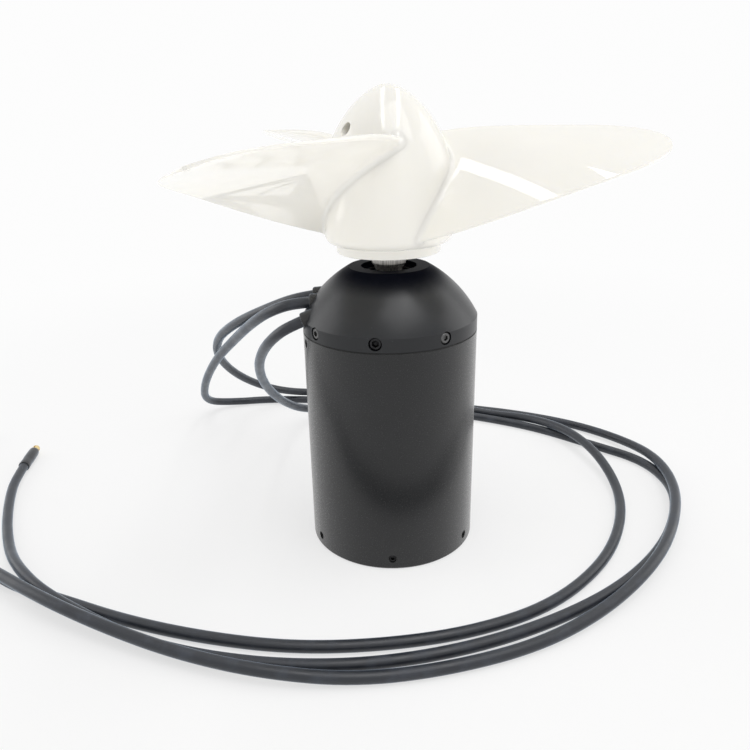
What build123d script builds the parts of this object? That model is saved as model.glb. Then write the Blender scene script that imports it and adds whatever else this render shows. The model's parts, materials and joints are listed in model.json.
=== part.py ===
from build123d import *
import math
import os

# Paddle board motor: a sealed brushless motor in a round aluminium can that
# stands on its flat base, with a three bladed propeller on its shaft and
# three silicone phase wires. Millimetres, +Z along the shaft, origin at the
# centre of the base. The side with the filler plug faces -Y.

# Can and dome
CAN_RADIUS = 35.0
CAN_WALL = 3.5
CAN_BORE = CAN_RADIUS - CAN_WALL
SEAM_HEIGHT = 92.7
BAND_HEIGHT = 98.3
DOME_TOP = 117.7
DOME_TOP_RADIUS = 16.0
SEAM_CHAMFER = 0.3
FIT = 0.05

# Shaft line
SHAFT_RADIUS = 5.0
SHAFT_END_RADIUS = 4.0
SHAFT_BOTTOM = 13.5
SHAFT_TOP = 173.0
SEAL_RADIUS = 11.0
SEAL_HEIGHT = 107.0
SEAL_LENGTH = 7.0
FRONT_BEARING_HEIGHT = 90.0
REAR_BEARING_HEIGHT = 13.1

# Motor core
STACK_BOTTOM = 25.0
STACK_TOP = 74.0
SLOTS = 12
POLES = 14
STATOR_BORE = 18.0
ROTOR_RADIUS = 14.2
MAGNET_RADIUS = 17.2
TOOTH_WIDTH = 4.2

# Fasteners
BASE_SCREW_HEIGHT = 4.9
BASE_SCREW_ANGLES = [30.0 + 60.0 * i for i in range(6)]
DOME_SCREW_HEIGHT = 96.2
DOME_SCREW_ANGLES = [36.0 + 90.0 * i for i in range(4)]
LOCK_SCREW_HEIGHT = 89.6
LOCK_SCREW_ANGLE = -160.5
PLUG_HEIGHT = 96.2
PLUG_ANGLE = -98.8
MOUNT_HOLE_CIRCLE = 44.0
MOUNT_HOLE_RADIUS = 1.65
MOUNT_HOLE_DEPTH = 8.0
MOUNT_HOLES = 4

# Propeller
HUB_BOTTOM = 123.4
HUB_STEP = 127.0
HUB_NECK_RADIUS = 20.2
HUB_RADIUS = 24.6
HUB_TOP = 183.4
INSERT_RADIUS = 8.0
BLADES = 3
BLADE_ANGLE = 3.5
BLADE_START = 8.0
BLADE_TIP = 102.7
NOSE_SCREW_ANGLE = -142.0
NOSE_SCREW_HEIGHT = 168.4

# Phase wires
WIRE_RADIUS = 2.25
LEAD_GAP = 0.05
LEAD_INSIDE = 7.0
LEAD_STRAIGHT = 6.0
HOLE_REACH = 9.0
GROMMET_RADIUS = 3.2
GROMMET_DEPTH = 5.0
GROMMET_STAND = 1.2
SLEEVE_RADIUS = 2.75
SLEEVE_LENGTH = 18.0
SLEEVE_OVERLAP = 6.0
PIN_RADIUS = 2.0
PIN_LENGTH = 4.5


def polar(radius, angle, height):
    """A point at a radius and an angle in degrees about the shaft."""
    turn = math.radians(angle)
    return Vector(radius * math.cos(turn), radius * math.sin(turn), height)


def ring(outer, inner, low, high):
    """A plain round tube about the shaft."""
    body = Cylinder(outer, high - low, align=(Align.CENTER, Align.CENTER, Align.MIN))
    bore = Cylinder(inner, high - low, align=(Align.CENTER, Align.CENTER, Align.MIN))
    return Pos(0, 0, low) * (body - bore)


def disc(radius, low, high):
    """A plain round bar about the shaft."""
    return Pos(0, 0, low) * Cylinder(
        radius, high - low, align=(Align.CENTER, Align.CENTER, Align.MIN)
    )


def turned(points):
    """A solid turned about the shaft from (radius, height) corners."""
    outline = Polyline(*[(r, 0, z) for r, z in points], close=True)
    return revolve(make_face(outline), Axis.Z)


def radial(radius, angle, height, inner, outer):
    """A round bar that points away from the shaft."""
    start = polar(inner, angle, height)
    plane = Plane(origin=start, z_dir=polar(1, angle, 0))
    return plane * Cylinder(
        radius, outer - inner, align=(Align.CENTER, Align.CENTER, Align.MIN)
    )


def radial_hex(across, angle, height, inner, outer):
    """A hexagonal key recess that points away from the shaft."""
    plane = Plane(origin=polar(inner, angle, height), z_dir=polar(1, angle, 0))
    return extrude(plane * RegularPolygon(across / 2, 6, major_radius=False), outer - inner)


def group(solids):
    """Separate solids in one node."""
    return Compound(children=list(solids))


def housing_tube():
    tube = ring(CAN_RADIUS, CAN_BORE, 0, SEAM_HEIGHT)
    rims = tube.edges().filter_by(GeomType.CIRCLE).group_by(Axis.Z)
    tube = chamfer(rims[-1].sort_by(SortBy.RADIUS)[-1], SEAM_CHAMFER)
    foot = tube.edges().filter_by(GeomType.CIRCLE).group_by(Axis.Z)[0]
    tube = chamfer(foot.sort_by(SortBy.RADIUS)[-1], 0.6)
    for angle in BASE_SCREW_ANGLES:
        tube -= radial(1.7, angle, BASE_SCREW_HEIGHT, CAN_BORE - 2, CAN_RADIUS + 1)
    tube -= radial(1.7, LOCK_SCREW_ANGLE, LOCK_SCREW_HEIGHT, CAN_BORE - 2, CAN_RADIUS + 1)
    return tube


def o_ring_groove(height):
    return ring(CAN_BORE + 1, CAN_BORE - 1.6, height, height + 2.4)


def base_cover():
    """Plug of the can: a disc with an O-ring groove, bearing pocket and taps."""
    cover = disc(CAN_BORE - FIT, 0, 12) + disc(14.0, 12, 20.1)
    cover -= o_ring_groove(8.4)
    cover -= disc(11.0, 12.5, 21)
    cover -= disc(8.0, 11.0, 13)
    for angle in BASE_SCREW_ANGLES:
        cover -= radial(1.5, angle, BASE_SCREW_HEIGHT, 27.0, CAN_BORE + 1)
    for place in PolarLocations(MOUNT_HOLE_CIRCLE / 2, MOUNT_HOLES, start_angle=45):
        cover -= place * Cylinder(MOUNT_HOLE_RADIUS, 2 * MOUNT_HOLE_DEPTH)
    return cover


def front_plate():
    """Bearing carrier in the top of the can, with a spigot for the dome."""
    rim = ring(CAN_BORE - FIT, 27.0, 82.0, SEAM_HEIGHT)
    web = disc(27.0, 84.0, 89.0)
    hub = disc(16.5, 84.0, 99.5)
    spigot = ring(30.0 - FIT, 26.5, SEAM_HEIGHT - 1, 99.3)
    plate = rim + web + hub + spigot
    plate -= o_ring_groove(85.0)
    plate -= disc(13.0, FRONT_BEARING_HEIGHT, 101)
    plate -= disc(7.6, 80, 101)
    plate -= ring(13.8, 12.0, 98.2, 99.3)
    for angle in DOME_SCREW_ANGLES:
        plate -= radial(1.25, angle, DOME_SCREW_HEIGHT, 26.0, 31.0)
    plate -= radial(1.5, LOCK_SCREW_ANGLE, LOCK_SCREW_HEIGHT, 28.0, 33.0)
    plate -= radial(2.4, PLUG_ANGLE, PLUG_HEIGHT, 25.0, 31.0)
    for angle in (165, 180, 195):
        plate -= Pos(*polar(21.5, angle, 86)) * Cylinder(2.6, 12)
    notch = Pos(*polar(28, LEADS["c"][0], 99)) * Rot(0, 0, LEADS["c"][0]) * Box(9, 9, 8)
    return plate - notch


def dome_cap():
    """Domed end of the can, with the seal pocket and the wire holes."""
    outer = Polyline(
        (30.0, 0, SEAM_HEIGHT), (CAN_RADIUS, 0, SEAM_HEIGHT), (CAN_RADIUS, 0, BAND_HEIGHT)
    )
    crown = ThreePointArc(
        (CAN_RADIUS, 0, BAND_HEIGHT), (29.7, 0, 106.2), (DOME_TOP_RADIUS, 0, DOME_TOP)
    )
    pocket = Polyline(
        (DOME_TOP_RADIUS, 0, DOME_TOP), (SEAL_RADIUS, 0, DOME_TOP), (SEAL_RADIUS, 0, SEAL_HEIGHT),
        (6.5, 0, SEAL_HEIGHT), (6.5, 0, SEAL_HEIGHT - 2.5), (14.5, 0, SEAL_HEIGHT - 2.5),
        (14.5, 0, 113.2),
    )
    vault = ThreePointArc((14.5, 0, 113.2), (24.0, 0, 106.6), (30.0, 0, 99.5))
    inner = Line((30.0, 0, 99.5), (30.0, 0, SEAM_HEIGHT))
    cap = revolve(make_face([outer, crown, pocket, vault, inner]), Axis.Z)
    cap -= ring(SEAL_RADIUS + 0.5, SEAL_RADIUS - 1, 114.1, 115.3)
    bottom = cap.edges().filter_by(GeomType.CIRCLE).group_by(Axis.Z)[0]
    cap = chamfer(bottom.sort_by(SortBy.RADIUS)[-1], SEAM_CHAMFER)
    for angle in DOME_SCREW_ANGLES:
        cap -= radial(1.4, angle, DOME_SCREW_HEIGHT, 28.0, 37.0)
        cap -= radial(2.5, angle, DOME_SCREW_HEIGHT, 32.6, 37.0)
    cap -= radial(2.5, PLUG_ANGLE, PLUG_HEIGHT, 28.0, 37.0)
    for name in LEADS:
        cap -= lead_frame(name) * Cylinder(GROMMET_RADIUS, 2 * HOLE_REACH)
    return cap


def set_screw(radius, across, angle, height, inner, outer):
    """Headless screw with a key recess."""
    screw = radial(radius, angle, height, inner, outer)
    return screw - radial_hex(across, angle, height, outer - 1.6, outer + 1)


def cap_screw(angle):
    """Dome screw: a low head in its counterbore and a thin shank."""
    screw = radial(2.15, angle, DOME_SCREW_HEIGHT, 32.6, 34.7)
    screw += radial(1.2, angle, DOME_SCREW_HEIGHT, 26.8, 33.0)
    return screw - radial_hex(2.0, angle, DOME_SCREW_HEIGHT, 33.5, 36.0)


def o_ring(height):
    """Round section seal, squeezed between its groove and the bore."""
    section = Plane.XZ * Pos(CAN_BORE - 0.8, height + 1.2) * Circle(0.78)
    return revolve(section, Axis.Z)


def shaft_seal():
    """Lip seal: outer shell, web and a lip that runs on the shaft."""
    low, high = SEAL_HEIGHT, SEAL_HEIGHT + SEAL_LENGTH
    return turned([
        (SEAL_RADIUS, low), (SEAL_RADIUS, high), (6.8, high), (5.6, high - 0.8),
        (SHAFT_RADIUS + FIT, high - 2.2), (5.8, high - 3.6), (6.2, high - 5.4), (9.4, high - 5.4),
        (9.4, low),
    ])


def seal_circlip():
    """Internal retaining ring with two eyes, in its groove over the seal."""
    clip = ring(SEAL_RADIUS + 0.4, SEAL_RADIUS - 1.2, 114.2, 115.2)
    clip -= Pos(*polar(SEAL_RADIUS, 178, 114.7)) * Rot(0, 0, 178) * Box(6, 3.4, 3)
    for angle in (166, -170):
        eye = Pos(*polar(SEAL_RADIUS - 1.6, angle, 114.7))
        clip += eye * Cylinder(1.5, 1.0)
        clip -= eye * Cylinder(0.75, 3.0)
    return clip


def bearing_circlip():
    clip = ring(13.6, 12.2, 98.3, 99.2)
    return clip - Pos(0, 13, 98.7) * Box(5, 5, 3)


def bearing_rings(low, width, bore, outside, pitch, ball):
    """Outer and inner ring of a deep groove ball bearing."""
    middle = low + width / 2
    groove = revolve(Plane.XZ * Pos(pitch, middle) * Circle(ball + 0.08), Axis.Z)
    outer = ring(outside, pitch + 0.72 * ball, low, low + width) - groove
    inner = ring(pitch - 0.72 * ball, bore, low, low + width) - groove
    return outer, inner


def ball_set(low, width, pitch, ball, count):
    """Balls held in a thin cage ring."""
    middle = low + width / 2
    cage = ring(pitch + 0.3 * ball, pitch - 0.3 * ball, middle - 0.9, middle + 0.9)
    for i in range(count):
        cage += Pos(*polar(pitch, 360 * (i + 0.5) / count, middle)) * Sphere(ball)
    return cage


def preload_washer():
    return ring(10.8, 8.4, 12.5, REAR_BEARING_HEIGHT)


def stator_core():
    """Laminated stack: yoke, straight teeth and shoes round the rotor."""
    yoke = Circle(CAN_BORE - FIT) - Circle(27.4)
    shoes = Circle(19.3) - Circle(STATOR_BORE)
    gaps = [
        loc * Rectangle(8, 2.4)
        for loc in PolarLocations(STATOR_BORE, SLOTS, start_angle=180 / SLOTS)
    ]
    teeth = [
        loc * Rectangle(27.6 - 19.0, TOOTH_WIDTH)
        for loc in PolarLocations((27.6 + 19.0) / 2, SLOTS)
    ]
    plan = yoke + (shoes - gaps) + teeth
    return Pos(0, 0, STACK_BOTTOM) * extrude(plan, STACK_TOP - STACK_BOTTOM)


def stator_windings():
    """One coil round each tooth, wider towards the yoke."""
    side = TOOTH_WIDTH / 2 + 0.2
    coils = []
    for place in PolarLocations(0, SLOTS):
        plan = Polygon((20.0, side), (26.6, side), (26.6, 6.2), (20.0, 4.6), align=None)
        half = extrude(plan, STACK_TOP - STACK_BOTTOM + 0.6)
        cross = Box(6.6, 2 * side, 3.2, align=(Align.MIN, Align.CENTER, Align.MIN))
        low = Pos(20.0, 0, STACK_BOTTOM - 3.5) * cross
        high = Pos(20.0, 0, STACK_TOP + 0.3) * cross
        post = Pos(0, 0, STACK_BOTTOM - 0.3) * half
        ends = Polygon((20.0, -4.6), (26.6, -6.2), (26.6, 6.2), (20.0, 4.6), align=None)
        cap = extrude(ends, 3.2)
        coil = post + mirror(post, Plane.XZ) + low + high
        coil += Pos(0, 0, STACK_BOTTOM - 3.5) * cap + Pos(0, 0, STACK_TOP + 0.3) * cap
        coils.append(place * coil)
    return group(coils)


def shaft():
    """Ground steel shaft, stepped for the rear bearing, flat for the screw."""
    bar = disc(SHAFT_RADIUS, 20.1, SHAFT_TOP) + disc(SHAFT_END_RADIUS, SHAFT_BOTTOM, 20.1)
    bar = chamfer(bar.edges().filter_by(GeomType.CIRCLE).group_by(Axis.Z)[-1], 0.8)
    foot = polar(SHAFT_RADIUS - 0.6, NOSE_SCREW_ANGLE, 168.0)
    flat = Plane(origin=foot, z_dir=polar(1, NOSE_SCREW_ANGLE, 0))
    return bar - flat * Box(12, 14, 2, align=(Align.CENTER, Align.CENTER, Align.MIN))


def rotor_core():
    core = ring(ROTOR_RADIUS, SHAFT_RADIUS, STACK_BOTTOM, STACK_TOP)
    for place in PolarLocations(9.6, 7):
        core -= place * Pos(0, 0, STACK_BOTTOM) * Cylinder(1.8, 120)
    return core


def rotor_magnets():
    """Arc magnets on the rotor, with a small gap between poles."""
    magnets = []
    edge = 180 / POLES - 1.1
    inner = [polar(ROTOR_RADIUS, turn, 0) for turn in (-edge, 0, edge)]
    outer = [polar(MAGNET_RADIUS, turn, 0) for turn in (-edge, 0, edge)]
    wedge = make_face([
        Line(inner[0], outer[0]),
        ThreePointArc(*outer),
        Line(outer[2], inner[2]),
        ThreePointArc(*inner),
    ])
    for i in range(POLES):
        magnet = Pos(0, 0, STACK_BOTTOM) * extrude(wedge, STACK_TOP - STACK_BOTTOM)
        magnets.append(Rot(0, 0, 360 * i / POLES) * magnet)
    return group(magnets)


def hub_insert():
    """Metal bush moulded into the hub, with a neck towards the motor."""
    bush = turned([
        (SHAFT_RADIUS, 119.6), (5.7, 119.6), (6.3, 121.4), (6.3, HUB_BOTTOM),
        (INSERT_RADIUS, HUB_BOTTOM), (INSERT_RADIUS, SHAFT_TOP + 1.5), (SHAFT_RADIUS, SHAFT_TOP + 1.5),
    ])
    return bush - radial(2.1, NOSE_SCREW_ANGLE, NOSE_SCREW_HEIGHT, 3.0, 12.0)


def blade_section(x):
    """Closed aerofoil face at the fraction x of the blade's span."""
    span = BLADE_START + (BLADE_TIP - BLADE_START) * x
    chord = (47.6 + 53.8 * x - 47.3 * x ** 2) * math.sqrt(1 - x ** 4)
    twist = math.radians(45.0 - 75.7 * x + 46.8 * x ** 2)
    skew = -4.6 - 31.8 * x + 30.2 * x ** 2
    lift = 146.6 + 27.6 * x - 12.2 * x ** 2
    half = chord / 2
    belly = min(1.3 + 5.2 * (1 - x) ** 1.6, 0.35 * chord) / 2
    rim = 0.45 + 1.0 * (1 - x) ** 2
    edge = 0.35 + 0.25 * (1 - x)
    plane = Plane(
        origin=(span, skew, lift),
        x_dir=(0, math.cos(twist), math.sin(twist)),
        z_dir=(1, 0, 0),
    )
    upper = Spline((-half, edge), (0, belly), (half - rim, rim))
    nose = ThreePointArc((half - rim, rim), (half, 0), (half - rim, -rim))
    lower = Spline((half - rim, -rim), (0, -belly), (-half, -edge))
    tail = Line((-half, -edge), (-half, edge))
    return plane * make_face([upper, nose, lower, tail])


def blade():
    stations = (0.0, 0.13, 0.28, 0.45, 0.62, 0.77, 0.88, 0.95, 0.985, 0.997)
    return loft([blade_section(x) for x in stations])


def hub():
    """Spinner: stepped neck, rounded shoulder and a domed nose."""
    foot = Polyline(
        (INSERT_RADIUS, 0, HUB_BOTTOM), (HUB_NECK_RADIUS - 0.5, 0, HUB_BOTTOM),
        (HUB_NECK_RADIUS, 0, HUB_BOTTOM + 0.5), (HUB_NECK_RADIUS, 0, HUB_STEP), (21.0, 0, HUB_STEP),
    )
    shoulder = ThreePointArc((21.0, 0, HUB_STEP), (23.5, 0, 128.1), (HUB_RADIUS, 0, 130.6))
    side = Line((HUB_RADIUS, 0, 130.6), (24.2, 0, 152.0))
    nose = Spline(
        (24.2, 0, 152.0), (21.0, 0, 164.0), (14.6, 0, 174.0), (8.6, 0, 180.0), (0, 0, HUB_TOP),
        tangents=[(-0.02, 0, 1), (-1, 0, 0)],
    )
    core = Polyline(
        (0, 0, HUB_TOP), (0, 0, SHAFT_TOP + 1.5), (INSERT_RADIUS, 0, SHAFT_TOP + 1.5),
        (INSERT_RADIUS, 0, HUB_BOTTOM),
    )
    return revolve(make_face([foot, shoulder, side, nose, core]), Axis.Z)


def propeller():
    """Moulded hub and blades in one piece."""
    body = hub()
    bore = disc(INSERT_RADIUS, HUB_BOTTOM - 1, SHAFT_TOP + 1.5)
    one = blade()
    for i in range(BLADES):
        body += Rot(0, 0, BLADE_ANGLE + 360 * i / BLADES) * one
    body -= bore
    return body - radial(2.6, NOSE_SCREW_ANGLE, NOSE_SCREW_HEIGHT, 6.0, 30.0)


def grommet(name):
    """Rubber bush that seals a wire in its hole in the dome."""
    middle = (GROMMET_STAND - GROMMET_DEPTH) / 2
    bush = Pos(0, 0, middle) * Cylinder(GROMMET_RADIUS, GROMMET_STAND + GROMMET_DEPTH)
    return lead_frame(name) * (bush - Cylinder(WIRE_RADIUS + LEAD_GAP, 4 * GROMMET_DEPTH))


# Each wire's hole in the dome: angle and height of its mouth, radius there,
# the compass heading of the wire as it leaves, and how steeply it drops
LEADS = {
    "a": (186.0, 104.2, 30.7, 183.0, 0.0),
    "b": (172.0, 105.2, 29.8, 176.0, 5.0),
    "c": (197.0, 98.7, 34.6, 186.0, 20.0),
}

# Each wire's route, from its hole to its connector, in order
FLOOR = 2.3
OVER = 7.2
ROUTES = {
    "a": [
        (-48.7, 1, 99.5), (-60.8, 18.9, 88.7), (-75, 44.6, 73), (-91, 69, 55), (-107, 98.5, 30),
        (-114, 121, 9.7), (-101, 137, FLOOR), (-76, 141, FLOOR), (-44, 138.5, FLOOR), (-12, 135, FLOOR),
        (20, 130, FLOOR), (50, 122, FLOOR), (80, 111.5, FLOOR), (108, 96, FLOOR), (127, 73, 3.6),
        (134.5, 47, 6.9), (133, 18, 7.4), (121.5, -12, OVER), (104, -40, OVER), (80, -62, 3.4),
        (52, -80, FLOOR), (20, -91.3, FLOOR), (-12, -96.7, FLOOR), (-43, -95.8, 4.8), (-73, -88, 5.5),
        (-102, -77, 7.2), (-129, -65.5, 10.3), (-156, -48, 9.2), (-185, -27, 5.0), (-212, 1, FLOOR),
        (-232, 33, 2.6), (-243, 60, 3.0), (-249, 82, 3.0),
    ],
    "b": [
        (-53, 17, 96), (-72, 38, 83.7), (-88.5, 63.8, 67.5), (-94.5, 90, 47.3), (-88, 114, 27),
        (-71, 135, 10.5), (-46, 147, 3.8), (-18, 142.5, 7.6), (10, 133, 8.0), (34, 121.8, 5.2),
        (58, 113, 2.8), (80, 101, 5.4), (97, 80, 7.8), (106, 53, OVER), (109, 24, 2.6),
        (101, -6, FLOOR), (85, -35, FLOOR), (59, -60.5, FLOOR), (28, -74.5, FLOOR), (-4, -80.8, FLOOR),
        (-36, -82, FLOOR), (-68, -76.8, FLOOR), (-99, -68, FLOOR), (-128, -56, FLOOR),
        (-157, -44.8, FLOOR), (-182, -22, FLOOR), (-203, 6, FLOOR), (-219, 35, 2.6), (-229, 60, 3.0),
        (-237, 83, 3.0),
    ],
    "c": [
        (-46.4, -6.3, 90.8), (-54.4, 7.8, 80), (-60.4, 26.6, 65.8), (-63, 52, 47), (-60.5, 80, 27),
        (-53, 105, 10.7), (-36, 122, 3.2), (-6, 126.5, FLOOR), (26, 119.5, FLOOR), (56, 108, FLOOR),
        (84, 93, FLOOR), (109, 71, FLOOR), (130.5, 52.5, FLOOR), (135.5, 26, FLOOR), (127, 0, FLOOR),
        (111, -26, FLOOR), (88, -49.5, FLOOR), (60, -67.8, FLOOR), (29, -81.5, FLOOR), (-3, -89.3, FLOOR),
        (-33, -90.7, FLOOR), (-62, -87, FLOOR), (-89, -79.3, 2.5), (-113, -68.5, 5.0), (-134, -57.4, 7.7),
        (-150, -42.5, 7.0), (-163, -25.5, 3.2), (-175, -5, FLOOR), (-185.5, 18, 2.5), (-192.3, 37.5, 2.9),
        (-195.3, 56.8, 3.0),
    ],
}


def lead_frame(name):
    """Frame at the mouth of a wire's hole, with its Z along the wire."""
    angle, height, radius, heading, drop = LEADS[name]
    slope = math.radians(drop)
    way = polar(math.cos(slope), heading, -math.sin(slope))
    return Plane(origin=polar(radius, angle, height), z_dir=way)


def corner_radii(points):
    """One arc radius for each corner, as large as its two runs allow."""
    radii = []
    for a, b, c in zip(points, points[1:], points[2:]):
        before, after = b - a, c - b
        turn = math.radians(before.get_angle(after))
        radii.append(0.45 * min(before.length, after.length) / math.tan(turn / 2))
    return radii


def wire_path(name):
    mouth = lead_frame(name)
    start = mouth.from_local_coords(Vector(0, 0, -LEAD_INSIDE))
    bend = mouth.from_local_coords(Vector(0, 0, LEAD_STRAIGHT))
    points = [start, bend] + [Vector(*p) for p in ROUTES[name]]
    radii = corner_radii(points)
    path = FilletPolyline(*points, radius=radii)
    return path, points, radii


def phase_wire(name):
    """Insulated wire as a plain tube along its route."""
    path, points, radii = wire_path(name)
    start = Plane(origin=points[0], z_dir=(points[1] - points[0]).normalized())
    tube = sweep(start * Circle(WIRE_RADIUS), path=path)
    section = math.pi * WIRE_RADIUS ** 2
    print("wire", name, "length", round(path.length, 1), "volume share",
          round(tube.volume / (section * path.length), 4), "smallest radius", round(min(radii), 1))
    print("   radii", [round(r) for r in radii])
    return tube


def end_frame(name):
    """Frame at the wire's cut end, with its Z along the wire."""
    last, before = (Vector(*p) for p in (ROUTES[name][-1], ROUTES[name][-2]))
    return Plane(origin=last, z_dir=(last - before).normalized())


def heatshrink(name):
    """Shrunk sleeve over the wire's end and the connector's barrel."""
    bottom = (Align.CENTER, Align.CENTER, Align.MIN)
    low = -SLEEVE_OVERLAP
    sleeve = Pos(0, 0, low) * Cylinder(SLEEVE_RADIUS, SLEEVE_LENGTH, align=bottom)
    sleeve = fillet(sleeve.edges().group_by(Axis.Z)[-1], 0.5)
    sleeve -= Pos(0, 0, low - 1) * Cylinder(WIRE_RADIUS + LEAD_GAP, SLEEVE_OVERLAP + 1, align=bottom)
    sleeve -= Cylinder(WIRE_RADIUS, SLEEVE_LENGTH, align=bottom)
    return end_frame(name) * sleeve


def bullet_pin(name):
    """Gold plated plug: a soldered barrel and a round pin."""
    bottom = (Align.CENTER, Align.CENTER, Align.MIN)
    barrel_length = SLEEVE_LENGTH - SLEEVE_OVERLAP
    barrel = Cylinder(WIRE_RADIUS, barrel_length, align=bottom)
    pin = Pos(0, 0, barrel_length) * Cylinder(PIN_RADIUS, PIN_LENGTH, align=bottom)
    pin = fillet(pin.edges().group_by(Axis.Z)[-1], 0.8)
    return end_frame(name) * (barrel + pin)


def main():
    os.makedirs("parts", exist_ok=True)
    front = bearing_rings(FRONT_BEARING_HEIGHT, 8.0, SHAFT_RADIUS, 13.0, 9.0, 2.38)
    rear = bearing_rings(REAR_BEARING_HEIGHT, 7.0, SHAFT_END_RADIUS, 11.0, 7.5, 1.98)
    parts = {
        "housing_tube": housing_tube(),
        "base_cover": base_cover(),
        "base_o_ring": o_ring(8.4),
        "base_screws": group(
            set_screw(1.45, 1.5, a, BASE_SCREW_HEIGHT, 27.2, 34.6) for a in BASE_SCREW_ANGLES
        ),
        "front_plate": front_plate(),
        "plate_o_ring": o_ring(85.0),
        "tube_lock_screw": set_screw(1.45, 1.5, LOCK_SCREW_ANGLE, LOCK_SCREW_HEIGHT, 28.2, 34.6),
        "dome_cap": dome_cap(),
        "dome_screws": group(cap_screw(a) for a in DOME_SCREW_ANGLES),
        "filler_plug": set_screw(2.35, 2.5, PLUG_ANGLE, PLUG_HEIGHT, 27.0, 34.2),
        "shaft_seal": shaft_seal(),
        "seal_circlip": seal_circlip(),
        "bearing_circlip": bearing_circlip(),
        "front_bearing_outer_ring": front[0],
        "front_bearing_inner_ring": front[1],
        "front_bearing_balls": ball_set(FRONT_BEARING_HEIGHT, 8.0, 9.0, 2.38, 7),
        "rear_bearing_outer_ring": rear[0],
        "rear_bearing_inner_ring": rear[1],
        "rear_bearing_balls": ball_set(REAR_BEARING_HEIGHT, 7.0, 7.5, 1.98, 7),
        "preload_washer": preload_washer(),
        "stator_core": stator_core(),
        "stator_windings": stator_windings(),
        "shaft": shaft(),
        "rotor_core": rotor_core(),
        "rotor_magnets": rotor_magnets(),
        "rotor_spacer": ring(7.0, SHAFT_RADIUS, STACK_TOP, FRONT_BEARING_HEIGHT),
        "hub_insert": hub_insert(),
        "propeller": propeller(),
        "propeller_set_screw": set_screw(
            2.05, 2.5, NOSE_SCREW_ANGLE, NOSE_SCREW_HEIGHT, SHAFT_RADIUS - 0.6, 11.5
        ),
    }
    for name in LEADS:
        parts["wire_grommet_" + name] = grommet(name)
        parts["phase_wire_" + name] = phase_wire(name)
        parts["heatshrink_" + name] = heatshrink(name)
        parts["bullet_pin_" + name] = bullet_pin(name)
    for name, shape in parts.items():
        export_step(shape, "parts/" + name + ".step")


main()
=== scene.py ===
import json
import math

import bmesh
import bpy
from bpy.props import FloatProperty, FloatVectorProperty, IntProperty, PointerProperty
from mathutils import Matrix, Vector


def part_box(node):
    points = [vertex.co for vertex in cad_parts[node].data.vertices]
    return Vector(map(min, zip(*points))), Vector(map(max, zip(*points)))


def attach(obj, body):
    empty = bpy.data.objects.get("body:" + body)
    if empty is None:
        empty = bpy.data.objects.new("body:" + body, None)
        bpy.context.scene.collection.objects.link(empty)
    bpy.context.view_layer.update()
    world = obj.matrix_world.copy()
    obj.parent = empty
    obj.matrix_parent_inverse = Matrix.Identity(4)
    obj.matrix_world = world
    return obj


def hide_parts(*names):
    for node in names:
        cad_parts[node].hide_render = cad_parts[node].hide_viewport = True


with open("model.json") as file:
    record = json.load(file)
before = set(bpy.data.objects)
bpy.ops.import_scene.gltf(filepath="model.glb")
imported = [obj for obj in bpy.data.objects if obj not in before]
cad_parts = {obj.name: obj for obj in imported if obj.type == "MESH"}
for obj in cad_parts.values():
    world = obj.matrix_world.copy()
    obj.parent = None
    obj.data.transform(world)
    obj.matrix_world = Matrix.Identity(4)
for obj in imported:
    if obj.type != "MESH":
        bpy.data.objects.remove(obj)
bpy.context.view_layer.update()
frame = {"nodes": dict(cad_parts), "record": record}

bl_info = {
    "name": "Paddle Board Motor",
    "version": (1, 0, 0),
    "blender": (4, 5, 0),
    "location": "3D View > Sidebar > Motor",
    "description": "Finishes, wires, screws and a studio for a sealed motor with a propeller",
    "category": "Object",
}

# Places in the frame that the detail pieces are set against, in metres
MM = 0.001
NODES = frame["nodes"]
CAN_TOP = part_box("housing_tube")[1]
CAN_RADIUS = CAN_TOP[0]
SEAM_HEIGHT = CAN_TOP[2]
DOME_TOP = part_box("dome_cap")[1][2]

# Radial screws: angle in degrees and height of each, and the radius of their key ends
BASE_SCREWS = [(30.0 + 60.0 * i, 4.9 * MM) for i in range(6)]
DOME_SCREWS = [(36.0 + 90.0 * i, 96.2 * MM) for i in range(4)]
LOCK_SCREW = (-160.5, 89.6 * MM)
FILLER_PLUG = (-98.8, 96.2 * MM)
NOSE_SCREW = (-142.0, 168.4 * MM)
GRUB_SEAT, HEAD_SEAT, PLUG_SEAT, NOSE_SEAT = 34.6 * MM, 34.7 * MM, 34.2 * MM, 11.5 * MM

# The hub, in millimetres: heights of its foot, its shoulder and the start of its nose,
# radii at the last two, height of the nose and radius of the round shoulder
HUB_FOOT, HUB_SHOULDER, NOSE_START = 123.4, 130.6, 152.0
HUB_RADIUS, NOSE_RADIUS, NOSE_RISE, HUB_ROUND = 24.6, 24.2, 31.4, 3.6

# The blade's laws, in millimetres and degrees: each has a value at the root, a slope
# and a curve along the span
CHORD, TWIST = (47.6, 53.8, -47.3), (45.0, -75.7, 46.8)
SKEW, LIFT = (-4.6, -31.8, 30.2), (146.6, 27.6, -12.2)

# Each wire's hole in the dome: angle and height of its mouth, radius there, the
# compass heading of the wire as it leaves, and how steeply it drops. All lengths here
# and in the routes are in millimetres, all angles in degrees.
WIRE_HOLES = {
    "a": (186.0, 104.2, 30.7, 183.0, 0.0),
    "b": (172.0, 105.2, 29.8, 176.0, 5.0),
    "c": (197.0, 98.7, 34.6, 186.0, 20.0),
}

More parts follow.
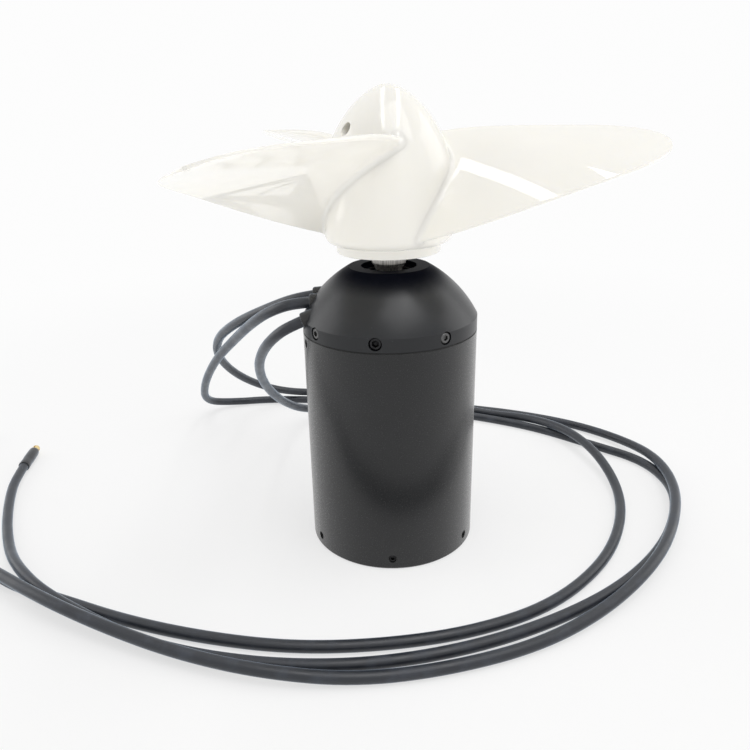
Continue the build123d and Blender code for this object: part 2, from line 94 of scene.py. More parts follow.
# Each wire's route, from its hole to its plug, as the control points of a curve.
# A point without a height lies on the floor; OVER_LINE is the height over another wire.
FLOOR_LINE = 2.3
OVER_LINE = 7.2
WIRE_ROUTES = {
    "a": [
        (-48.7, 1, 99.5), (-60.8, 18.9, 88.7), (-75, 44.6, 73), (-91, 69, 55), (-107, 98.5, 30),
        (-114, 121, 9.7), (-101, 137), (-76, 141), (-44, 138.5), (-12, 135), (20, 130), (50, 122),
        (80, 111.5), (108, 96), (127, 73, 3.6), (134.5, 47, 6.9), (133, 18, 7.4),
        (121.5, -12, OVER_LINE), (104, -40, OVER_LINE), (80, -62, 3.4), (52, -80), (20, -91.3),
        (-12, -96.7), (-43, -95.8, 4.8), (-73, -88, 5.5), (-102, -77, OVER_LINE),
        (-129, -65.5, 10.3), (-156, -48, 9.2), (-185, -27, 5), (-212, 1), (-232, 33, 2.6),
        (-243, 60, 3), (-249, 82, 3),
    ],
    "b": [
        (-53, 17, 96), (-72, 38, 83.7), (-88.5, 63.8, 67.5), (-94.5, 90, 47.3), (-88, 114, 27),
        (-71, 135, 10.5), (-46, 147, 3.8), (-18, 142.5, 7.6), (10, 133, 8), (34, 121.8, 5.2),
        (58, 113, 2.8), (80, 101, 5.4), (97, 80, 7.8), (106, 53, OVER_LINE), (109, 24, 2.6),
        (101, -6), (85, -35), (59, -60.5), (28, -74.5), (-4, -80.8), (-36, -82), (-68, -76.8),
        (-99, -68), (-128, -56), (-157, -44.8), (-182, -22), (-203, 6), (-219, 35, 2.6),
        (-229, 60, 3), (-237, 83, 3),
    ],
    "c": [
        (-46.4, -6.3, 90.8), (-54.4, 7.8, 80), (-60.4, 26.6, 65.8), (-63, 52, 47), (-60.5, 80, 27),
        (-53, 105, 10.7), (-36, 122, 3.2), (-6, 126.5), (26, 119.5), (56, 108), (84, 93),
        (109, 71), (130.5, 52.5), (135.5, 26), (127, 0), (111, -26), (88, -49.5), (60, -67.8),
        (29, -81.5), (-3, -89.3), (-33, -90.7), (-62, -87), (-89, -79.3, 2.5), (-113, -68.5, 5),
        (-134, -57.4, 7.7), (-150, -42.5, 7), (-163, -25.5, 3.2), (-175, -5), (-185.5, 18, 2.5),
        (-192.3, 37.5, 2.9), (-195.3, 56.8, 3),
    ],
}


# Settings

def number_of(name, description, default, **more):
    """A setting that is a number."""
    return FloatProperty(name=name, description=description, default=default, **more)


def length_of(name, description, default):
    """A setting for a length, with its default in millimetres."""
    return number_of(name, description, default * MM, unit="LENGTH", precision=5)


def angle_of(name, description, default):
    """A setting for an angle, with its default in radians."""
    return number_of(name, description, default, subtype="ANGLE", unit="ROTATION")


def share_of(name, description, default):
    """A setting from 0 to 1."""
    return number_of(name, description, default, min=0, max=1)


def colour_of(name, description, default):
    """A setting for a colour."""
    return FloatVectorProperty(name=name, description=description, default=default,
                               subtype="COLOR", min=0, max=1)


class MotorWireSettings(bpy.types.PropertyGroup):
    """Sizes of the free phase wires and their plugs"""
    radius: length_of("Wire radius", "Half the insulation's diameter", 2.25)
    inside: length_of("Start inside", "Length of wire inside its hole", 7.0)
    straight: length_of("Straight start", "Straight run of wire outside its hole", 6.0)
    sleeve_radius: length_of("Sleeve radius", "Radius of the shrunk sleeve", 2.75)
    sleeve_length: length_of("Sleeve length", "Length of the shrunk sleeve", 18.0)
    sleeve_overlap: length_of("Sleeve overlap", "Length of sleeve on the wire", 6.0)
    pin_radius: length_of("Pin radius", "Radius of the bullet pin", 2.0)
    pin_length: length_of("Pin length", "Length of pin beyond the sleeve", 4.5)
    bush_radius: length_of("Bush radius", "Radius of the rubber bush", 3.2)
    segments: IntProperty(name="Segments", description="Facets round a wire, sleeve or pin",
                          default=28, min=8, max=64)


class MotorPropellerSettings(bpy.types.PropertyGroup):
    """Main sizes of the moulded propeller"""
    blades: IntProperty(name="Blades", description="Number of blades", default=3, min=2, max=5)
    blade_angle: angle_of("Blade angle", "Turn of the first blade", math.radians(3.5))
    blade_start: length_of("Blade start", "From the shaft to a blade's root", 8.0)
    blade_tip: length_of("Blade tip", "From the shaft to a blade's tip", 102.7)
    root_fillet: length_of("Root fillet", "Radius of the fillet between blade and hub", 1.8)
    screw_hole: length_of("Screw hole", "Radius of the hole through the nose", 2.3)


class MotorScrewSettings(bpy.types.PropertyGroup):
    """Sizes of the small screws round the can and the dome"""
    grub_radius: length_of("Set screw radius", "Radius of the headless screws", 1.45)
    grub_key: length_of("Set screw key", "Width across the flats of their socket", 1.5)
    head_radius: length_of("Cap screw radius", "Radius of the dome screws' heads", 2.15)
    head_key: length_of("Cap screw key", "Width across the flats of their socket", 2.0)
    plug_radius: length_of("Plug radius", "Radius of the filler plug", 2.35)
    plug_key: length_of("Plug key", "Width across the flats of its socket", 2.5)
    edge: length_of("Edge", "Width of a screw's chamfer", 0.22)


class MotorFinishSettings(bpy.types.PropertyGroup):
    """Colours of the finishes"""
    anodised: colour_of("Anodised", "Black of the can and the dome", (0.0095, 0.0105, 0.0125))
    plastic: colour_of("Propeller", "Warm white of the propeller", (0.89, 0.871, 0.815))
    silicone: colour_of("Wire", "Black of the silicone wires", (0.0175, 0.0205, 0.0275))
    sleeve: colour_of("Sleeve", "Black of the shrunk sleeves", (0.022, 0.022, 0.024))
    rubber: colour_of("Rubber", "Black of the bushes and seals", (0.013, 0.013, 0.013))
    steel: colour_of("Steel", "Ground and stainless steel", (0.62, 0.60, 0.57))
    black_steel: colour_of("Black steel", "Oxide of screws and rings", (0.035, 0.035, 0.037))
    gold: colour_of("Gold", "Plating of the bullet pins", (0.86, 0.68, 0.34))


class MotorStageSettings(bpy.types.PropertyGroup):
    """Camera, lights and backdrop"""
    frame_size: number_of("Frame", "Width of the square picture in pixels", 750.0)
    focal: number_of("Focal length", "Focal length in pixels", 698.49)
    axis_x: number_of("Axis X", "Pixel column of the lens's axis", 368.75)
    axis_y: number_of("Axis Y", "Pixel row of the lens's axis", 382.69)
    place: FloatVectorProperty(name="Camera place", description="Where the camera stands",
                               default=(0.0, -0.272317, 0.175021), subtype="TRANSLATION",
                               unit="LENGTH")
    pitch: angle_of("Pitch", "How far the camera looks down", 0.374)
    yaw: angle_of("Yaw", "How far the camera looks to the right", -0.0333)
    roll: angle_of("Roll", "How far the camera leans", -0.025)
    white: share_of("Backdrop", "Brightness of the backdrop", 0.98)
    ambient: share_of("Ambient", "Strength of the light from all sides", 0.42)
    table: share_of("Table glow", "Light that the floor sends up", 0.5)
    shadow: share_of("Shadow", "How much of the floor's own shading shows", 0.34)


# Mesh helpers

def polar(radius, angle, height):
    """A point at a radius and an angle in degrees about the shaft."""
    turn = math.radians(angle)
    return Vector((radius * math.cos(turn), radius * math.sin(turn), height))


def frame_at(origin, way):
    """A matrix whose Z looks along a direction."""
    turn = Vector(way).to_track_quat("Z", "Y").to_matrix().to_4x4()
    return Matrix.Translation(origin) @ turn


def radial_frame(radius, angle, height):
    """Matrix on the can's side, with its Z away from the shaft."""
    return frame_at(polar(radius, angle, height), polar(1.0, angle, 0.0))


def edges_of(verts):
    """The edges that have both ends among some vertices."""
    chosen = set(verts)
    return [e for e in {e for v in verts for e in v.link_edges} if set(e.verts) <= chosen]


def loop(bm, sides, radius, height=0.0):
    """A closed ring of edges about Z."""
    verts = bmesh.ops.create_circle(bm, segments=sides, radius=radius)["verts"]
    bmesh.ops.translate(bm, vec=(0, 0, height), verts=verts)
    return edges_of(verts)


def pull(bm, edges, scale, rise):
    """Extrude a closed loop of edges, scale it about Z and move it along Z."""
    made = bmesh.ops.extrude_edge_only(bm, edges=edges)["geom"]
    verts = [v for v in made if isinstance(v, bmesh.types.BMVert)]
    bmesh.ops.scale(bm, vec=(scale, scale, 1.0), verts=verts)
    bmesh.ops.translate(bm, vec=(0, 0, rise), verts=verts)
    return edges_of(verts)


def cap(bm, edges):
    """Close a loop of edges with one face."""
    bmesh.ops.contextual_create(bm, geom=edges)


def lathe(bm, profile, steps, closed=True):
    """Spin (radius, height) corners about Z; an open profile starts and ends on Z."""
    verts = [bm.verts.new((r, 0.0, z)) for r, z in profile]
    pairs = list(zip(verts, verts[1:]))
    if closed:
        pairs.append((verts[-1], verts[0]))
    edges = [bm.edges.new(pair) for pair in pairs]
    bmesh.ops.spin(bm, geom=verts + edges, axis=(0, 0, 1), cent=(0, 0, 0),
                   angle=math.tau, steps=steps, use_merge=True)
    return verts


def finish_mesh(bm, name, place=None):
    """Merge, turn the faces outwards, move to a place and make the mesh."""
    bmesh.ops.remove_doubles(bm, verts=bm.verts, dist=1e-7)
    bmesh.ops.recalc_face_normals(bm, faces=bm.faces)
    if place is not None:
        bmesh.ops.transform(bm, matrix=place, verts=bm.verts)
    mesh = bpy.data.meshes.new(name)
    bm.to_mesh(mesh)
    bm.free()
    return mesh


def turned(name, profile, steps, place=None, closed=True):
    """A mesh spun about Z from one profile."""
    bm = bmesh.new()
    lathe(bm, profile, steps, closed)
    return finish_mesh(bm, name, place)


def swept(bm, section, first, angle, steps):
    """Sweep a flat section of (radius, height) corners about Z, from one angle through another."""
    verts = [bm.verts.new(polar(r, first, z)) for r, z in section]
    face = bm.faces.new(verts)
    bmesh.ops.spin(bm, geom=[face, *face.edges, *verts], axis=(0, 0, 1), cent=(0, 0, 0),
                   angle=math.radians(angle), steps=steps)


def new_object(name, data):
    """An object of some data, linked to the scene."""
    made = bpy.data.objects.new(name, data)
    bpy.context.collection.objects.link(made)
    return made


def add_piece(name, meshes, slot, body, nodes=(), crease=32.0, finish=None):
    """One object from some meshes, on its body, in place of its nodes."""
    bm = bmesh.new()
    for mesh in meshes:
        bm.from_mesh(mesh)
        bpy.data.meshes.remove(mesh)
    mesh = bpy.data.meshes.new(name)
    bm.to_mesh(mesh)
    bm.free()
    mesh.shade_smooth()
    mesh.set_sharp_from_angle(angle=math.radians(crease))
    mesh.materials.append(FINISHES[finish or slot])
    piece = new_object(name, mesh)
    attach(piece, body)
    if nodes:
        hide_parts(*nodes)
    return piece


# Finishes

# Every finish by name; a piece wears the one of its slot, unless it names another
FINISHES = {}

# Painted shade: the dark navy that the dome's black is painted near the recess, where the propeller
# shades it
PAINTED_SHADE_NAVY = (0.0045, 0.0052, 0.0090, 1.0)


class Tree:
    """A node tree under construction, with short ways to add nodes."""

    def __init__(self, owner):
        owner.use_nodes = True
        self.tree = owner.node_tree

    def feed(self, node, inputs):
        """Fill a node's inputs; each gets a value or another node's output."""
        for key, value in inputs.items():
            if isinstance(value, bpy.types.NodeSocket):
                self.tree.links.new(value, node.inputs[key])
            else:
                node.inputs[key].default_value = value

    def add(self, kind, inputs=(), **settings):
        """The outputs of a new node, with its inputs by name or in their order."""
        node = self.tree.nodes.new(kind)
        for key, value in settings.items():
            setattr(node, key, value)
        self.feed(node, inputs if isinstance(inputs, dict) else dict(enumerate(inputs)))
        return node.outputs

    def span(self, value, low, high, out_low=0.0, out_high=1.0):
        """Smoothly map a value from one range to another, clamped."""
        return self.add("ShaderNodeMapRange", (value, low, high, out_low, out_high),
                        interpolation_type="SMOOTHSTEP")[0]

    def math(self, operation, *values):
        """One sum of numbers or nodes' outputs."""
        return self.add("ShaderNodeMath", values, operation=operation)[0]

    def source(self, kind, strength):
        """White light of a strength."""
        return self.add(kind, {"Color": (1.0, 1.0, 1.0, 1.0), "Strength": strength})[0]

    def mixed(self, share, first, second):
        """Two shaders, mixed by a share of the second."""
        return self.add("ShaderNodeMixShader", (share, first, second))[0]


class Finish(Tree):
    """A material under construction: its shader and the nodes that feed it."""

    def __init__(self, name, roughness, metallic=0.0):
        self.material = bpy.data.materials.new(name)
        super().__init__(self.material)
        self.shader = self.tree.nodes["Principled BSDF"]
        self.dial({"Roughness": roughness, "Metallic": metallic})
        self.place = self.add("ShaderNodeTexCoord")["Object"]

    def dial(self, inputs):
        """Fill some of the shader's inputs."""
        self.feed(self.shader, inputs)

    def stretched(self, scale):
        """The object's coordinates, stretched by a scale for each axis."""
        return self.add("ShaderNodeMapping", {"Vector": self.place, "Scale": scale})[0]

    def noise(self, scale, detail, vector=None):
        """Soft random clouds, from 0 to 1."""
        return self.add("ShaderNodeTexNoise", {"Vector": vector or self.place, "Scale": scale,
                                               "Detail": detail})["Fac"]

    def specks(self, scale, size):
        """Small round specks of random cells, 1 at their middles."""
        cells = self.add("ShaderNodeTexVoronoi", {"Vector": self.place, "Scale": scale})
        return self.span(cells["Distance"], size, 0.4 * size)

    def wave(self, scale, distortion):
        """Level bands, one above the other."""
        return self.add("ShaderNodeTexWave", {"Vector": self.place, "Scale": scale,
                                              "Distortion": distortion}, bands_direction="Z")["Fac"]

    def height(self):
        """Height above the floor."""
        return self.add("ShaderNodeSeparateXYZ", (self.place,))["Z"]

    def band(self, centre, half):
        """1 on a band of heights round the shaft, 0 away from it."""
        away = self.math("ABSOLUTE", self.math("SUBTRACT", self.height(), centre))
        return self.span(away, half, 0.3 * half)

    def blend(self, amount, under, over):
        """One colour over another; each is a colour or a node's output."""
        return self.add("ShaderNodeMix", {0: amount, 6: under, 7: over}, data_type="RGBA")[2]

    def tones(self, value, low, high, colour, first, last):
        """A colour that goes from one shade of itself to another as a value rises."""
        return self.blend(self.span(value, low, high), shade(colour, first), shade(colour, last))

    def paint(self, colour):
        """Give the surface its colour."""
        self.dial({"Base Color": colour})

    def rough(self, value, low, high, out_low, out_high):
        """Let the roughness follow a value."""
        self.dial({"Roughness": self.span(value, low, high, out_low, out_high)})

    def bump(self, layers):
        """Stack bumps of (height, strength, distance) on the surface."""
        under = {}
        for height, strength, distance in layers:
            inputs = {"Height": height, "Strength": strength, "Distance": distance, **under}
            under = {"Normal": self.add("ShaderNodeBump", inputs)["Normal"]}
        self.dial(under)


def shade(colour, factor):
    """A colour made lighter or darker, with an alpha of 1."""
    return (*(min(1.0, c * factor) for c in colour), 1.0)


def anodised(name, colour, gloss, worn=None, painted_shade=None):
    """Satin black anodised aluminium with a fine blasted grain and faint clouds.

    gloss is its range of roughness. At the height called worn it has a bright scuffed rim.
    Between the two heights of its last argument it is painted darker and reflects less: painted
    shade from the propeller above.
    """
    finish = Finish(name, 0.32)
    clouds = finish.noise(28.0, 4.0)
    grain = finish.noise(2600.0, 2.0)
    streaks = finish.noise(1.0, 3.0, finish.stretched((60.0, 60.0, 900.0)))
    base = finish.tones(clouds, 0.35, 0.7, colour, 0.88, 1.16)
    base = finish.blend(finish.specks(170.0, 0.05), base, shade(colour, 3.2))
    if worn:
        patches = finish.span(clouds, 0.3, 0.6, 0.35, 0.8)
        scuffed = finish.math("MULTIPLY", finish.band(worn, 0.45 * MM), patches)
        base = finish.blend(scuffed, base, shade(colour, 4.5))
    # Painted shade: darker navy and a weaker reflection near the dome's top, under the propeller
    if painted_shade:
        height = finish.height()
        base = finish.blend(finish.span(height, *painted_shade), base, PAINTED_SHADE_NAVY)
        finish.dial({"Specular IOR Level": finish.span(height, *painted_shade, 0.4, 0.1),
                     "IOR": finish.span(height, *painted_shade, 1.5, 1.1)})
    else:
        finish.dial({"Specular IOR Level": 0.4, "Sheen Weight": 0.24, "Sheen Roughness": 0.5})
    finish.paint(base)
    finish.rough(grain, 0.3, 0.7, *gloss)
    finish.bump([(streaks, 0.06, 0.05 * MM), (grain, 0.16, 0.03 * MM)])
    return finish.material


def moulded_plastic(name, colour):
    """Glossy warm white moulding: slight depth, faint flow clouds and a soft wave in its gloss."""
    finish = Finish(name, 0.03)
    flow = finish.noise(22.0, 3.0)
    wave = finish.noise(38.0, 1.0)
    grain = finish.noise(1500.0, 2.0)
    base = finish.tones(flow, 0.35, 0.7, colour, 0.985, 1.015)
    finish.paint(finish.blend(finish.specks(900.0, 0.02), base, shade(colour, 0.9)))
    finish.rough(flow, 0.3, 0.7, 0.02, 0.05)
    finish.bump([(wave, 0.018, 0.2 * MM), (grain, 0.02, 0.004 * MM)])
    finish.dial({"Subsurface Weight": 0.15, "Subsurface Radius": (1.0, 0.95, 0.75),
                 "Subsurface Scale": 2.0 * MM})
    return finish.material


def silicone(name, colour, roughness=0.4, sheen=0.7):
    """Soft black insulation: a fine extruded grain, dust and a bluish sheen at the edges."""
    finish = Finish(name, roughness)
    grain = finish.noise(1800.0, 3.0)
    dust = finish.noise(160.0, 5.0)
    base = finish.tones(dust, 0.45, 0.75, colour, 0.9, 1.7)
    finish.paint(finish.blend(finish.specks(420.0, 0.045), base, shade(colour, 7.0)))
    finish.rough(dust, 0.3, 0.7, roughness - 0.06, roughness + 0.09)
    finish.bump([(dust, 0.08, 0.1 * MM), (grain, 0.12, 0.02 * MM)])
    finish.dial({"Sheen Weight": sheen, "Sheen Roughness": 0.3,
                 "Sheen Tint": (0.68, 0.82, 1.0, 1.0)})
    return finish.material


def turned_metal(name, colour, roughness, rings=0.25):
    """Bare or plated metal with fine rings from the lathe or the grinding wheel."""
    finish = Finish(name, roughness, 1.0)
    cut = finish.noise(1.0, 4.0, finish.stretched((90.0, 90.0, 5200.0)))
    stain = finish.noise(140.0, 4.0)
    base = finish.tones(stain, 0.3, 0.75, colour, 0.86, 1.1)
    finish.paint(finish.blend(finish.span(cut, 0.55, 0.75), base, shade(colour, 1.25)))
    finish.rough(cut, 0.3, 0.7, roughness - 0.07, roughness + 0.08)
    finish.bump([(cut, rings, 0.02 * MM)])
    return finish.material


def drawn_metal(name, colour, roughness):
    """Bright metal with fine upright lines from the tool that drew it."""
    finish = Finish(name, roughness, 1.0)
    lines = finish.noise(1.0, 3.0, finish.stretched((1700.0, 1700.0, 60.0)))
    finish.paint(finish.tones(lines, 0.35, 0.65, colour, 0.8, 1.25))
    finish.rough(lines, 0.3, 0.7, roughness - 0.05, roughness + 0.1)
    finish.bump([(lines, 0.2, 0.05 * MM)])
    return finish.material


def screw_metal(name, colour, roughness):
    """Small hardware: mottled oxide or stainless, with tool marks that don't follow an axis."""
    finish = Finish(name, roughness, 0.9)
    mottle = finish.noise(900.0, 4.0)
    marks = finish.noise(4200.0, 2.0)
    finish.paint(finish.tones(mottle, 0.3, 0.7, colour, 0.75, 1.2))
    finish.rough(mottle, 0.3, 0.7, roughness + 0.08, roughness - 0.06)
    finish.bump([(marks, 0.15, 0.02 * MM)])
    return finish.material


def laminated_steel(name, colour):
    """Edges of stacked sheets, one every half millimetre."""
    finish = Finish(name, 0.42, 0.9)
    sheets = finish.wave(640.0, 0.4)
    finish.paint(finish.blend(sheets, shade(colour, 0.45), shade(colour, 1.1)))
    finish.bump([(sheets, 0.3, 0.05 * MM)])
    return finish.material


def enamelled_copper(name, colour):
    """Wound wire: close turns under a clear enamel, painted darker in the gaps between them and
    lighter on their crowns, as shade and light on round wire.
    """
    finish = Finish(name, 0.3, 0.85)
    finish.dial({"Coat Weight": 0.6, "Coat Roughness": 0.12})
    turns = finish.wave(380.0, 1.2)
    # Painted shade in the gaps between turns and painted light on their crowns
    finish.paint(finish.blend(turns, shade(colour, 0.35), shade(colour, 1.15)))
    finish.bump([(turns, 0.6, 0.2 * MM)])
    return finish.material


def make_finishes():
    """Fill FINISHES; the frame's own plain materials step aside for their names."""
    for plain in list(bpy.data.materials):
        plain.name = "plain_" + plain.name
    colours = bpy.context.scene.motor_finish
    # Heights over which the dome is painted with shade from the propeller
    dome_shade = (DOME_TOP - 8.0 * MM, DOME_TOP - 0.8 * MM)
    recipes = {
        "anodised_can": (anodised, shade(colours.anodised, 0.5)[:3], (0.21, 0.28), 0.4 * MM),
        "anodised_dome": (anodised, colours.anodised, (0.29, 0.36), None, dome_shade),
        "propeller_plastic": (moulded_plastic, colours.plastic),
        "wire_silicone": (silicone, colours.silicone),
        "heatshrink_plastic": (silicone, colours.sleeve, 0.34),
        "seal_rubber": (silicone, colours.rubber, 0.55),
        # Painted shade: the seam's rubber at 0.3 of its black, rough and without sheen, for the
        # shade in the gap
        "seam_sealant": (silicone, shade(colours.rubber, 0.3)[:3], 0.8, 0.0),
        "shaft_steel": (turned_metal, colours.steel, 0.3),
        "drawn_steel": (drawn_metal, colours.steel, 0.42),
        "bare_aluminium": (turned_metal, (0.66, 0.67, 0.68), 0.34),
        "bearing_steel": (turned_metal, (0.68, 0.68, 0.69), 0.16, 0.08),
        "magnet_nickel": (turned_metal, (0.63, 0.62, 0.59), 0.2, 0.1),
        "gold_plate": (turned_metal, colours.gold, 0.24, 0.12),
        "black_spring_steel": (screw_metal, colours.black_steel, 0.34),
        "black_screw": (screw_metal, shade(colours.black_steel, 0.8)[:3], 0.38),
        "steel_screw": (screw_metal, (0.13, 0.13, 0.13), 0.4),
        "lamination_steel": (laminated_steel, (0.33, 0.34, 0.36)),
        "copper_wire": (enamelled_copper, (0.60, 0.27, 0.12)),
    }
    for name, (recipe, *values) in recipes.items():
        FINISHES[name] = recipe(name, *values)


# Pieces

def wire_start(name):
    """Matrix at the mouth of a wire's hole, with its Z along the wire."""
    angle, height, radius, heading, drop = WIRE_HOLES[name]
    slope = math.radians(drop)
    way = polar(math.cos(slope), heading, -math.sin(slope))
    return frame_at(polar(radius * MM, angle, height * MM), way)


def route(name):
    """The points of a wire's route, with their heights, in metres."""
    return [Vector((*p, FLOOR_LINE)[:3]) * MM for p in WIRE_ROUTES[name]]


def wire_end(name):
    """Matrix at a wire's cut end, with its Z along the wire."""
    before, last = route(name)[-2:]
    return frame_at(last, last - before)


def wire_curve(name):
    """The smooth curve of one wire, from inside the dome to its plug."""
    sizes = bpy.context.scene.motor_wires
    mouth = wire_start(name)
    start = mouth @ Vector((0, 0, -sizes.inside))
    bend = mouth @ Vector((0, 0, sizes.straight))
    points = [start, bend] + route(name)
    curve = bpy.data.curves.new("wire_" + name, "CURVE")
    curve.dimensions = "3D"
    curve.bevel_depth = sizes.radius
    curve.bevel_resolution = 5
    curve.use_fill_caps = True
    spline = curve.splines.new("NURBS")
    spline.points.add(len(points) - 1)
    for point, place in zip(spline.points, points):
        point.co = (*place, 1.0)
    spline.order_u = 3
    spline.use_endpoint_u = True
    spline.resolution_u = 8
    return curve, mouth


def sleeve_mesh(name):
    """Shrunk sleeve: soft rims, a step where the barrel starts and shallow ripples."""
    sizes = bpy.context.scene.motor_wires
    radius, low = sizes.sleeve_radius, -sizes.sleeve_overlap
    high = low + sizes.sleeve_length
    wall, lip = radius - sizes.radius, 0.25 * MM
    profile = [
        (sizes.radius, low), (radius - lip, low), (radius - 0.3 * lip, low + 0.3 * lip),
        (radius, low + 1.4 * lip), (radius - 0.04 * MM, low + 2.5 * MM),
        (radius - 0.08 * MM, -1.2 * MM), (radius - 0.14 * MM, 0.0),
        (radius - 0.05 * MM, 1.6 * MM), (radius - 0.03 * MM, 5.0 * MM),
        (radius - 0.08 * MM, high - 2.0 * MM), (radius - 0.22 * MM, high - 0.8 * MM),
        (radius - 0.8 * wall, high - 0.1 * MM), (sizes.radius, high),
    ]
    bm = bmesh.new()
    lathe(bm, profile, sizes.segments)
    bmesh.ops.remove_doubles(bm, verts=bm.verts, dist=1e-7)
    for vert in bm.verts:
        if vert.co.xy.length > sizes.radius + 0.1 * MM:
            turn = math.atan2(vert.co.y, vert.co.x)
            swell = math.sin(3 * turn + 900.0 * vert.co.z) * math.sin(700.0 * vert.co.z)
            ripple = 0.03 * MM * swell
            vert.co.xy *= 1.0 + ripple / radius
    return finish_mesh(bm, "sleeve", wire_end(name))


def pin_mesh(name):
    """Bullet pin: soldered barrel, collar and four sprung leaves with a rounded nose."""
    sizes = bpy.context.scene.motor_wires
    barrel = sizes.sleeve_length - sizes.sleeve_overlap
    end, radius = barrel + sizes.pin_length, sizes.pin_radius
    cup, neck, collar = sizes.radius - 0.02 * MM, radius - 0.15 * MM, barrel + 0.5 * MM
    bm = bmesh.new()
    lathe(bm, [
        (0.0, 0.0), (cup, 0.0), (cup, barrel - 0.05 * MM), (neck, barrel), (neck, collar),
        (0.0, collar),
    ], sizes.segments, closed=False)
    gap, leaves = 14.0, 4
    leaf = [
        (0.5 * radius, collar), (radius - 0.12 * MM, collar),
        (radius - 0.02 * MM, barrel + 1.2 * MM), (radius, barrel + 2.1 * MM),
        (radius - 0.04 * MM, barrel + 3.1 * MM), (radius - 0.3 * MM, end - 0.55 * MM),
        (0.72 * radius, end - 0.12 * MM), (0.5 * radius, end),
    ]
    for i in range(leaves):
        swept(bm, leaf, i * 360.0 / leaves + gap / 2, 360.0 / leaves - gap, 8)
    lathe(bm, [(0.0, barrel), (0.42 * radius, barrel), (0.42 * radius, end - 0.6 * MM),
               (0.0, end - 0.3 * MM)], 16, closed=False)
    return finish_mesh(bm, "pin", wire_end(name))


def bush_mesh(name):
    """Rubber bush round a wire, with a rounded collar outside the dome."""
    sizes = bpy.context.scene.motor_wires
    hole, radius, stand = sizes.radius + 0.05 * MM, sizes.bush_radius, 1.2 * MM
    profile = [
        (hole, -5.0 * MM), (radius, -5.0 * MM), (radius, 0.35 * stand),
        (radius - 0.08 * MM, 0.65 * stand), (radius - 0.3 * MM, 0.92 * stand),
        (hole + 0.3 * MM, stand), (hole, 0.85 * stand),
    ]
    return turned("bush", profile, sizes.segments, wire_start(name))


def socket_screw_mesh(radius, length, key, socket_depth, edge, place):
    """Screw with a chamfered rim and a hexagonal socket with a drilled floor."""
    bm = bmesh.new()
    sides, corner = 36, math.radians(60.0)
    rim = loop(bm, sides, radius - edge)
    socket = loop(bm, sides, 0.5 * key)
    for vert in {v for e in socket for v in e.verts}:
        turn = math.atan2(vert.co.y, vert.co.x)
        vert.co.xy /= math.cos(turn - corner * round(turn / corner))
    bmesh.ops.bridge_loops(bm, edges=rim + socket)
    flank = pull(bm, rim, radius / (radius - edge), -edge)
    foot = pull(bm, flank, 1.0, -(length - 2.0 * edge))
    cap(bm, pull(bm, foot, 1.0 - edge / radius, -edge))
    walls = pull(bm, socket, 0.97, -socket_depth)
    cap(bm, pull(bm, walls, 0.25, -0.22 * key))
    return finish_mesh(bm, "screw", place)


def seam_mesh():
    """A thin ring of sealant between the can and the dome, with chamfered rims; its near-black,
    dull finish is painted shade of the seam's gap.
    """
    inner, outer, edge = CAN_RADIUS - 0.8 * MM, CAN_RADIUS + 0.02 * MM, 0.04 * MM
    low, high = SEAM_HEIGHT - 0.2 * MM, SEAM_HEIGHT + 0.2 * MM
    return turned("seam line", [
        (inner, low + edge), (inner + edge, low), (outer - edge, low), (outer, low + edge),
        (outer, high - edge), (outer - edge, high), (inner + edge, high), (inner, high - edge),
    ], 160)


def bush_neck_mesh():
    """The metal bush in the hub: a plain neck below it and a bored barrel."""
    low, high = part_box("hub_insert")
    bore, barrel, foot, top = 5.0 * MM, high[0], low[2], high[2]
    neck, step = 6.3 * MM, HUB_FOOT * MM
    return turned("bush neck", [
        (bore, foot), (neck - 0.2 * MM, foot), (neck, foot + 0.2 * MM), (neck, step),
        (barrel, step), (barrel, top), (bore, top),
    ], 96)


def collar_mesh():
    """Flared skirt round the bush's neck, which reaches down over the shaft."""
    bore, foot, widest, top, inside = 5.05, 116.2, 6.7, 121.6, 6.34
    profile = [
        (bore, foot), (bore + 0.1, foot), (bore + 0.25, foot + 0.12), (bore + 0.35, foot + 0.6),
        (bore + 0.6, foot + 1.2), (bore + 0.95, foot + 1.7), (bore + 1.35, foot + 2.2),
        (widest - 0.05, foot + 2.7), (widest, foot + 3.0), (widest, top - 0.2),
        (widest - 0.2, top), (inside, top), (inside, foot + 3.2), (bore, foot + 3.2),
    ]
    return turned("flared collar", [(r * MM, z * MM) for r, z in profile], 96)


def retaining_ring_mesh():
    """Internal retaining ring: a sprung bar with an eye at each end of its gap."""
    outer, inner, low, high = 11.4 * MM, 9.8 * MM, 114.2 * MM, 115.2 * MM
    middle, gap, edge = 178.0, 20.0, 0.12 * MM
    bm = bmesh.new()
    swept(bm, [
        (inner, low + edge), (inner + edge, low), (outer, low), (outer, high),
        (inner + edge, high), (inner, high - edge),
    ], middle + gap / 2, 360.0 - gap, 90)
    eye_outer, eye_hole, eye_place = 1.5 * MM, 0.75 * MM, 9.4 * MM
    for angle in (middle - gap / 2 - 2.0, middle + gap / 2 + 2.0):
        eye = turned("eye", [
            (eye_hole, low), (eye_outer - edge, low), (eye_outer, low + edge),
            (eye_outer, high - edge), (eye_outer - edge, high), (eye_hole, high),
        ], 28, Matrix.Translation(polar(eye_place, angle, 0.0)))
        bm.from_mesh(eye)
        bpy.data.meshes.remove(eye)
    return finish_mesh(bm, "retaining ring")


# Propeller: the same laws of hub and blade as the solid, in millimetres

